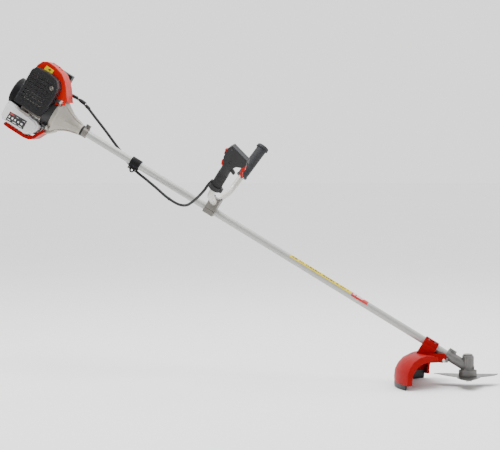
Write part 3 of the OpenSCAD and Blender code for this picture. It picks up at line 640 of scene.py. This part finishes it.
# the cheek that closes the cover's side: its outer and inner edge, from the starter to the bell
CHEEK_ROWS = [((-61.5, -42.4, 96), (-55, -42.4, 96)), ((-61.4, -42.4, 108), (-54.5, -42.4, 104)),
              ((-60.8, -42.4, 117.5), (-51, -42.4, 109)),
              ((-51.6, -42.4, 136.6), (-43, -42.4, 111)),
              ((-36, -42.4, 145.6), (-30, -42.4, 111.5)),
              ((-8, -42.4, 144.9), (-5, -42.4, 110.5)), ((27.8, -42.4, 135), (22, -42.4, 105)),
              ((50.5, -42.4, 118.2), (35, -42.4, 96)), ((67.5, -42.4, 98.4), (47, -42.4, 79)),
              ((82.4, -42.6, 76.6), (54, -44, 62)), ((91.5, -43.5, 61), (60.5, -51, 46)),
              ((96.5, -48, 48), (65, -58, 34))]
cheek_pts, cheek_faces = [], []
for a, b in CHEEK_ROWS:
    cheek_pts += [a, tuple(a[i] * 0.5 + b[i] * 0.5 for i in range(3)), b]
for i in range(len(CHEEK_ROWS) - 1):
    for j in (0, 1):
        cheek_faces.append((3 * i + j, 3 * i + j + 1, 3 * i + j + 4, 3 * i + j + 3))
cheek = outward(place("cover_cheek", cheek_pts, cheek_faces, E, "red_plastic"))
thick = cheek.modifiers.new("thick", "SOLIDIFY")
thick.thickness = 0.0022
thick.offset = 0.0
put(soften(cheek, 0.6, 2, 50), "frame")

foot = prism("bell_foot", [(66, -48), (64.5, -68), (69, -77), (80, -75.5), (91, -66), (103, -54),
                           (100, -46)], -25, 25, E, "cast_grey")
put(soften(foot, 3.0, 3), "frame")

# ---------------------------------------------------------------- patches on tank and cover
tank_patch = prism("tank_patch", [(-58, -99.5), (-57, -67), (12, -65), (13, -98)], -64.45, -64.0,
                   E, "black_film")
put(soften(tank_patch, 0.15, 1), "frame")
PATCH_ROWS = (((-73, -71.4), ((-28, -20), (-2, 7))),
              ((-87, -81), ((-53, -48), (-41, -35), (-29, -24), (-17, -11), (-4, 3))),
              ((-95, -93), ((-53, -42), (-32, -18), (-8, 5))))
bars = [((x0, -64.7, z0), (x1, -64.4, z1)) for (z0, z1), spans in PATCH_ROWS for x0, x1 in spans]
put(blocks("tank_patch_bars", bars, E, "white_film"), "frame")
put(blocks("tank_patch_red", [((-54, -64.72, -74), (-36, -64.4, -70))], E, "red_film"), "frame")
heat_strip = prism("heat_strip", [(-35, -50), (-34, -43), (7, -41.5), (8, -47)], -62.5, -60.5, E,
                   "cast_grey")
put(soften(heat_strip, 0.5, 2), "frame")

cover_tag = prism("cover_patch", [(-33.7, 116.7), (-31.5, 134.1), (0.3, 132.8), (-1.6, 113)],
                  -44.1, -43.6, E, "yellow_film")
put(soften(cover_tag, 0.15, 1), "frame")
put(prism("cover_patch_mark", [(-22, 126), (-14, 131), (-7, 127.5), (-13, 126), (-10, 121.5),
                               (-17, 124.5)], -44.4, -44.05, E, "black_film"), "frame")
put(blocks("cover_patch_bar", [((-27, -44.4, 117.6), (-8, -44.05, 118.8))], E, "black_film"),
    "frame")

# ---------------------------------------------------------------- ignition lead and fuel hoses
lead, _ = wire("ignition_lead", [(0, 20, 126), (4, 27, 124), (18, 30, 112), (38, 26, 96),
                                 (52, 16, 80), (58, 6, 70), (58, 2, 64)], 3.0, E, "rubber_black")
put(lead, "frame")
for tag, pts in (
        ("fuel_hose_a", [(-14, 50, -49), (-16, 57, -40), (-20, 66, -10), (-14, 70, 20),
                         (-8, 68, 42), (-6, 66, 52)]),
        ("fuel_hose_b", [(14, 50, -51), (16, 58, -42), (20, 68, -10), (14, 70, 18), (6, 68, 30),
                         (4, 66, 34)])):
    hose, _ = wire(tag, pts, 2.4, E, "hose")
    put(hose, "frame")

# ---------------------------------------------------------------- filter cover and tank cap
RIB_STEP = 8.0
ribs = [((-30 + i * RIB_STEP, 120.5, z0), (-27.5 + i * RIB_STEP, 122.2, z0 + 18))
        for z0 in (58, 104) for i in range(7)]
put(soften(blocks("filter_ribs", ribs, E, "black_plastic"), 0.5, 2), "filter_cover")
knob = [((-1.2, 0, -12), (1.2, 7.5, 12),
         Matrix.Translation((-3, 121, 90)) @ Matrix.Rotation(math.radians(a), 4, "Y"))
        for a in range(0, 180, 30)]
put(soften(blocks("filter_knob", knob, E, "black_plastic"), 0.5, 2), "filter_cover")
cap = [((-1.5, 74, 16.2), (1.5, 83, 18.0),
        Matrix.Translation((-60, 0, -66)) @ Matrix.Rotation(math.radians(a), 4, "Y"))
       for a in range(0, 360, 20)]
put(soften(blocks("cap_grips", cap, E, "black_plastic"), 0.5, 2), "tank_cap")

# ---------------------------------------------------------------- handles
face = prism("handle_face_plate",
             [(-20.5, GRIP_Z + 159.0), (-20.1, GRIP_Z + 161.2), (47.6, GRIP_Z + 146.5),
              (47.2, GRIP_Z + 144.3)], -13.5, 13.5, H, "handle_face")
put(soften(face, 0.7, 2), "frame")

SCREW = [(0.01, 0), (3.4, 0), (3.4, 0.7), (2.9, 1.2), (1.6, 1.2), (1.5, 0.4), (0.01, 0.4)]
studs = []
for x, z in ((-14, 150), (34, 128), (2, 108)):
    for side_y in (-16.0, 16.0):
        at = (H @ Matrix.Translation((x, side_y, GRIP_Z + z))
              @ Matrix.Rotation(QUARTER if side_y < 0 else -QUARTER, 4, "X"))
        studs.append(lathe("handle_screw_%d_%d" % (x + 20, side_y > 0), SCREW, at, "cast_black",
                           24, closed=False))
for o in studs:
    put(o, "frame")

PIP_COLUMNS, PIP_STEP = 26, 9.5
pips = []
for k in range(PIP_COLUMNS):
    t = Matrix.Rotation(math.radians(360 / PIP_COLUMNS * k), 4, "Z")
    for j in range(5):
        z0 = 50 + j * PIP_STEP + (4.7 if k % 2 else 0)
        pips.append(((17.0, -1.1, z0), (18.3, 1.1, z0 + 6.2), t))
put(soften(blocks("handle_pips", pips, H, "handle_plastic"), 0.4, 1), "frame")

rings = []
for j in range(14):
    z0 = 84 + j * 8.0
    rings += [(18.2, z0), (19.1, z0 + 0.6), (19.1, z0 + 4.0), (18.2, z0 + 4.6)]
prof = [(18.2, 80)] + rings + [(18.2, 196), (17.6, 196), (17.6, 80)]
put(lathe("left_grip_ribs", prof, G, "rubber_grip", 64), "frame")
put(lathe("left_grip_cap", [(0.01, 206.6), (9, 206.8), (17, 206.6), (21, 206.2), (21.5, 207.4),
                            (17, 208.6), (8, 209.2), (0.01, 209.3)], G, "rubber_grip", 56,
          closed=False), "frame")

# ---------------------------------------------------------------- gear case and guard details
put(lathe("gear_cap", [(0.01, 92.4), (13.6, 92.4), (15.2, 92.9), (16.3, 94.0), (15.2, 95.2),
                       (11.5, 95.9), (10.8, 95.1), (4.2, 95.1), (3.8, 96.4), (0.01, 96.5)],
          MM, "cast_mid", 56, closed=False), "frame")
put(lathe("gear_band", [(18.2, 86.0), (19.9, 86.5), (19.9, 88.6), (18.2, 89.1)], MM, "cast_dark",
          64), "frame")
BOLT = [(0.01, 0), (5.4, 0), (5.4, 3.0), (4.6, 3.9), (2.4, 3.9), (2.2, 2.0), (0.01, 2.0)]
for i, (x, z) in enumerate(((-80, 75), (-112, 83), (-138, 88))):
    at = MM @ Matrix.Translation((x, -30.0, z)) @ Matrix.Rotation(QUARTER, 4, "X")
    sides = 6 if i else 28                  # the first is a round cap screw
    put(lathe("guard_bolt_%d" % i, BOLT, at, "steel", sides, closed=False), "frame")
put(lathe("guard_lug", [(0.01, 0), (7.5, 0), (8, 1), (8, 13), (7, 14.5), (0.01, 14.5)],
          MM @ Matrix.Translation((-74, -22, 68)), "cast_dark", 32, closed=False),
    "frame")

# ---------------------------------------------------------------- castings in their own finish
for node, width, seg, mat in (
        ("bar_bracket", 2.6, 3, "cast_mid"), ("shaft_clamp", 1.2, 3, "cast_mid"),
        ("hanger_clamp", 1.6, 3, "guard_rough"), ("guard_bracket", 1.8, 3, "red_deep"),
        ("guard_clamp", 1.6, 3, "red_deep"), ("blade_guard", 0.8, 2, "red_deep"),
        ("starter_housing", 1.0, 2, "guard_rough"), ("fixing_screws", 0.35, 2, "screw_steel")):
    refine(node, width, seg, mat=mat)

# ---------------------------------------------------------------- floor, light
floor = lathe("floor", [(0.001, 0), (30000, 0)], MM @ Matrix.Translation((-700, 0, FLOOR_Z)),
              "white_film", 96, closed=False)
floor_mat = surface("floor_paint", (0.86, 0.86, 0.86), 0.8, var=0.01, rvar=0.03, grain=60,
                    grain_s=0.02, patch=1.5)
floor.data.materials.clear()
floor.data.materials.append(floor_mat)

# a white sky, brighter behind the tool (first term) and overhead (second term)
world = bpy.data.worlds.new("world")
bpy.context.scene.world = world
world.use_nodes = True
wn = world.node_tree
sky = wn.nodes["Background"]
w_tc = wn.nodes.new("ShaderNodeTexCoord")
w_xyz = wn.nodes.new("ShaderNodeSeparateXYZ")
link(wn, w_tc, "Generated", w_xyz, 0)


def w_range(axis, lo, hi, a, b):
    """a below lo and b above hi on the given axis of the sky, eased between."""
    r = wn.nodes.new("ShaderNodeMapRange")
    r.interpolation_type = "SMOOTHSTEP"
    r.inputs["From Min"].default_value = lo
    r.inputs["From Max"].default_value = hi
    r.inputs["To Min"].default_value = a
    r.inputs["To Max"].default_value = b
    link(wn, w_xyz, axis, r, "Value")
    return r


w_sum = wn.nodes.new("ShaderNodeMath")
w_sum.operation = "ADD"
link(wn, w_range("Y", -0.7, 0.3, 0.55, 1.6), "Result", w_sum, 0)
link(wn, w_range("Z", 0.3, 1.0, 0.0, 1.0), "Result", w_sum, 1)
link(wn, w_sum, 0, sky, "Strength")
sky.inputs["Color"].default_value = (1.0, 1.0, 1.0, 1)


def softbox(name, pos, aim, size, power):
    """A rectangular area light at pos that faces aim."""
    d = bpy.data.lights.new(name, "AREA")
    d.shape = "RECTANGLE"
    d.size, d.size_y = size
    d.energy = power
    o = bpy.data.objects.new(name, d)
    bpy.context.scene.collection.objects.link(o)
    o.location = pos
    o.rotation_euler = (Vector(pos) - Vector(aim)).to_track_quat("Z", "Y").to_euler()
    return o


softbox("key", (-1.4, -1.0, 4.2), (-0.8, 0, 0.5), (2.6, 1.6), 170)
softbox("rim", (-0.4, 2.2, 3.6), (-0.8, 0, 0.6), (3.0, 1.4), 60)
